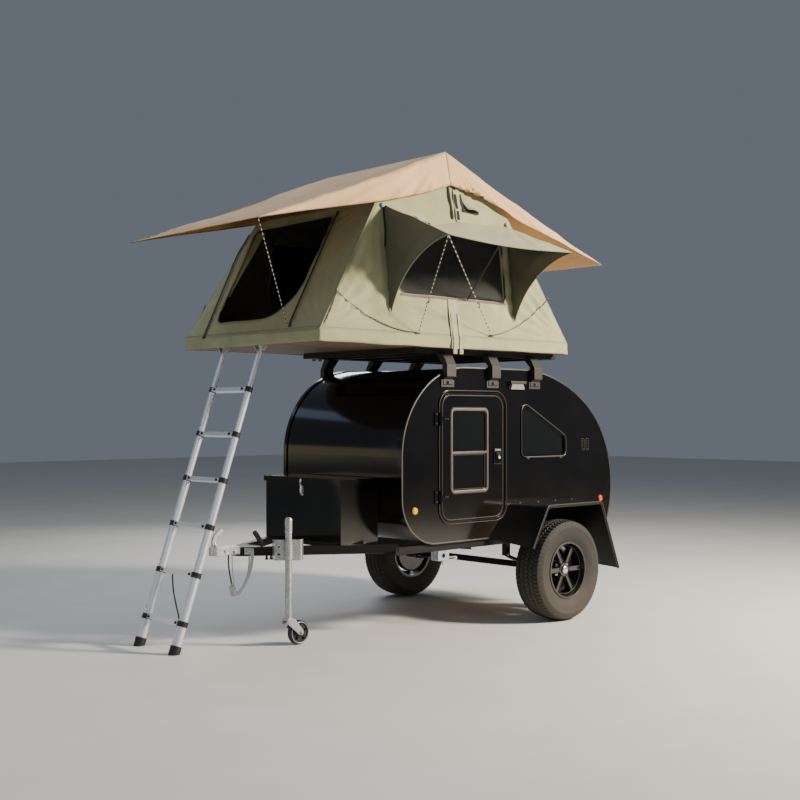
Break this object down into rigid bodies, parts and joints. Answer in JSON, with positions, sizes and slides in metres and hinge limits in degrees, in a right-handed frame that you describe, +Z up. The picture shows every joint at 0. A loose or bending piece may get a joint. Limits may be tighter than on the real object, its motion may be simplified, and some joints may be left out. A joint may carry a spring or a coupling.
{
  "type": "teardrop camping trailer",
  "caption": "Black teardrop camping trailer with side doors, rear galley hatch, drawbar box, nose jack, roof rack, open roof tent and telescopic ladder.",
  "frame": {"origin": "on the ground under the middle of the whole outline", "axes": "+X forward to the coupler, +Y to the left side, +Z up"},
  "size_m": [3.7022, 2.204, 3.311],
  "materials": {
    "black_paint": "gloss",
    "chassis_black": "satin",
    "zinc": "satin",
    "rubber_black": "matt",
    "rim_black": "gloss",
    "window_trim": "satin",
    "tinted_glass": "gloss",
    "lens_amber": "gloss",
    "lens_red": "gloss",
    "lens_dark": "gloss",
    "wood_panel": "satin",
    "bedding": "matt",
    "canvas_green": "matt",
    "fly_tan": "matt",
    "mesh_dark": "matt",
    "tent_board": "satin",
    "ladder_alloy": "satin",
    "plastic_black": "matt",
    "plug_grey": "matt",
    "cord_black": "matt",
    "cord_grey": "satin",
    "edge_metal": "satin",
    "caster_black": "matt"
  },
  "bodies": {
    "trailer": {"chassis_frame": "chassis_black", "coupler": "zinc", "coupler_lever": "zinc", "drawbar_grip": "plastic_black", "drawbar_eye": "zinc", "axle": "chassis_black", "leaf_springs": "chassis_black", "fenders": "chassis_black", "floor_pan": "wood_panel", "wall_left": "black_paint", "wall_right": "black_paint", "edge_trims": "edge_metal", "roof_shell": "black_paint", "galley_cabinet": "wood_panel", "door_frames": "black_paint", "quarter_glass": "tinted_glass", "quarter_frames": "black_paint", "rack_legs": "chassis_black", "rack_platform": "chassis_black", "tongue_box": "black_paint", "box_latches": "zinc", "jack_clamp": "zinc", "stabiliser_sockets": "zinc", "amber_markers": "lens_amber", "red_lamps": "lens_red", "porch_lights": "lens_dark", "cabin_mattress": "bedding", "tent_base": "tent_board", "ladder_lugs": "zinc", "tent_front_wall": "canvas_green", "tent_rear_wall": "canvas_green", "tent_gable_left": "canvas_green", "tent_gable_right": "canvas_green", "tent_roof": "canvas_green", "window_screens": "mesh_dark", "tent_poles": "chassis_black", "tent_fly": "fly_tan", "side_awnings": "canvas_green", "tow_cable": "cord_black", "tow_plug": "plug_grey", "safety_cable": "cord_grey"},
    "wheel_left": {"tyre_left": "rubber_black", "rim_left": "rim_black"},
    "wheel_right": {"tyre_right": "rubber_black", "rim_right": "rim_black"},
    "door_left_leaf": {"door_left": "black_paint", "door_glass_left": "tinted_glass", "window_frame_left": "window_trim"},
    "door_right_leaf": {"door_right": "black_paint", "door_glass_right": "tinted_glass", "window_frame_right": "window_trim"},
    "hatch": {"rear_hatch": "black_paint"},
    "box_lid": {"tongue_box_lid": "black_paint"},
    "jack": {"jack_leg": "zinc"},
    "caster": {"jack_fork": "zinc"},
    "caster_wheel": {"jockey_wheel": "caster_black"},
    "ladder": {"ladder_rails": "ladder_alloy", "ladder_rungs": "ladder_alloy", "ladder_fittings": "plastic_black", "ladder_strap": "cord_black"}
  },
  "joints": [
    {"name": "wheel_left_spin", "type": "hinge", "parent": "trailer", "child": "wheel_left", "pos_m": [-0.968, 0.667, 0.366], "axis": [0, 1, 0], "continuous": true},
    {"name": "wheel_right_spin", "type": "hinge", "parent": "trailer", "child": "wheel_right", "pos_m": [-0.968, -0.963, 0.366], "axis": [0, 1, 0], "continuous": true},
    {"name": "door_left_swing", "type": "hinge", "parent": "trailer", "child": "door_left_leaf", "pos_m": [0.084, 0.504, 1.198], "axis": [0, 0, -1], "range_deg": [0, 110]},
    {"name": "door_right_swing", "type": "hinge", "parent": "trailer", "child": "door_right_leaf", "pos_m": [0.084, -0.8, 1.198], "axis": [0, 0, 1], "range_deg": [0, 110]},
    {"name": "hatch_lift", "type": "hinge", "parent": "trailer", "child": "hatch", "pos_m": [-1.30212, -0.148, 1.72008], "axis": [0, 1, 0], "range_deg": [0, 75]},
    {"name": "box_lid_lift", "type": "hinge", "parent": "trailer", "child": "box_lid", "pos_m": [0.459, -0.148, 1.058], "axis": [0, -1, 0], "range_deg": [0, 75]},
    {"name": "jack_slide", "type": "slide", "parent": "trailer", "child": "jack", "axis": [0, 0, 1], "range_m": [0, 0.2]},
    {"name": "caster_swivel", "type": "hinge", "parent": "jack", "child": "caster", "pos_m": [1.104, 0.125, 0.178], "axis": [0, 0, 1], "continuous": true},
    {"name": "caster_wheel_spin", "type": "hinge", "parent": "caster", "child": "caster_wheel", "pos_m": [1.024, 0.125, 0.078], "axis": [0, 1, 0], "continuous": true},
    {"name": "ladder_swing", "type": "hinge", "parent": "trailer", "child": "ladder", "pos_m": [1.1345, -0.347, 1.935], "axis": [0, -1, 0], "range_deg": [0, 55]}
  ]
}
